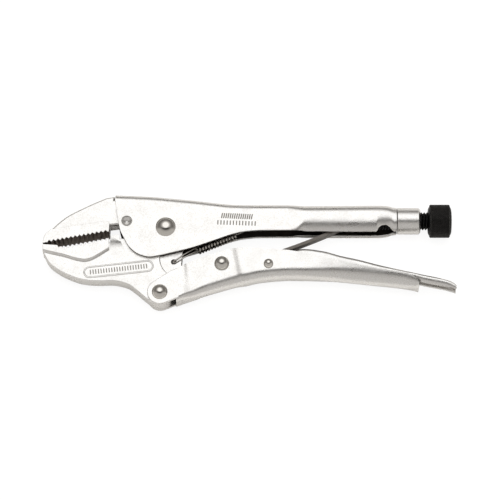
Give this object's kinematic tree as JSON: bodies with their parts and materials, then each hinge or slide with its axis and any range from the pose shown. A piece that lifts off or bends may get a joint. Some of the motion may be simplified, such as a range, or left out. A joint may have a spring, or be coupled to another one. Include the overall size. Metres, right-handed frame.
{
  "type": "locking pliers",
  "caption": "Plated locking pliers with toothed curved-back jaws, a toggle link, a release lever and a knurled adjusting screw.",
  "frame": {"origin": "flat crown of the main pivot rivet's lower head, on the pivot axis, where the pliers rest on a bench", "axes": "+X from the jaws to the adjusting screw, +Y from the lever to the fixed handle, +Z along the rivets, up from the bench"},
  "size_m": [0.2492, 0.0697, 0.0218],
  "materials": {
    "satin_plate": "satin nickel and chrome plate on blasted steel",
    "polished_plate": "polished plate on turned rivet heads",
    "black_oxide": "black oxide",
    "spring_steel": "oiled dark spring wire"
  },
  "bodies": {
    "handle": {"fixed_handle": "satin_plate", "fixed_jaw": "satin_plate", "fixed_jaw_pin": "satin_plate", "main_pivot_rivet": "polished_plate", "thread_bush": "satin_plate", "return_spring": "spring_steel"},
    "jaw": {"moving_jaw": "satin_plate"},
    "lever": {"lever": "satin_plate", "lever_rivet": "polished_plate", "link_rivet": "polished_plate", "release_rivet": "polished_plate"},
    "link": {"toggle_link": "satin_plate"},
    "release": {"release_lever": "satin_plate"},
    "screw": {"adjusting_screw": "black_oxide"},
    "knob": {"screw_knob": "black_oxide"}
  },
  "joints": [
    {"name": "jaw_pivot", "type": "hinge", "parent": "handle", "child": "jaw", "pos_m": [0, 0, 0.0109], "axis": [0, 0, 1], "range_deg": [0, 24], "deforming": ["return_spring"]},
    {"name": "lever_pivot", "type": "hinge", "parent": "jaw", "child": "lever", "pos_m": [-0.0032, -0.0408, 0.0109], "axis": [0, 0, 1], "range_deg": [-70.8, 0]},
    {"name": "link_pivot", "type": "hinge", "parent": "lever", "child": "link", "pos_m": [0.0339, -0.0227, 0.0109], "axis": [0, 0, 1], "range_deg": [0, 71.6]},
    {"name": "release_pivot", "type": "hinge", "parent": "lever", "child": "release", "pos_m": [0.062, -0.0231, 0.0109], "axis": [0, 0, 1], "range_deg": [0, 4]},
    {"name": "screw_travel", "type": "slide", "parent": "handle", "child": "screw", "axis": [1, 0, 0], "range_m": [0, 0.0175]},
    {"name": "knob_turn", "type": "hinge", "parent": "screw", "child": "knob", "pos_m": [0.158, 0.0062, 0.0109], "axis": [1, 0, 0], "range_deg": [0, 3601]}
  ],
  "couplings": [
    {"joint": "lever_pivot", "follows": "jaw_pivot", "ratio": -2.95},
    {"joint": "link_pivot", "follows": "jaw_pivot", "ratio": 2.98},
    {"joint": "knob_turn", "follows": "screw_travel", "rad_per_m": 3590.4}
  ]
}
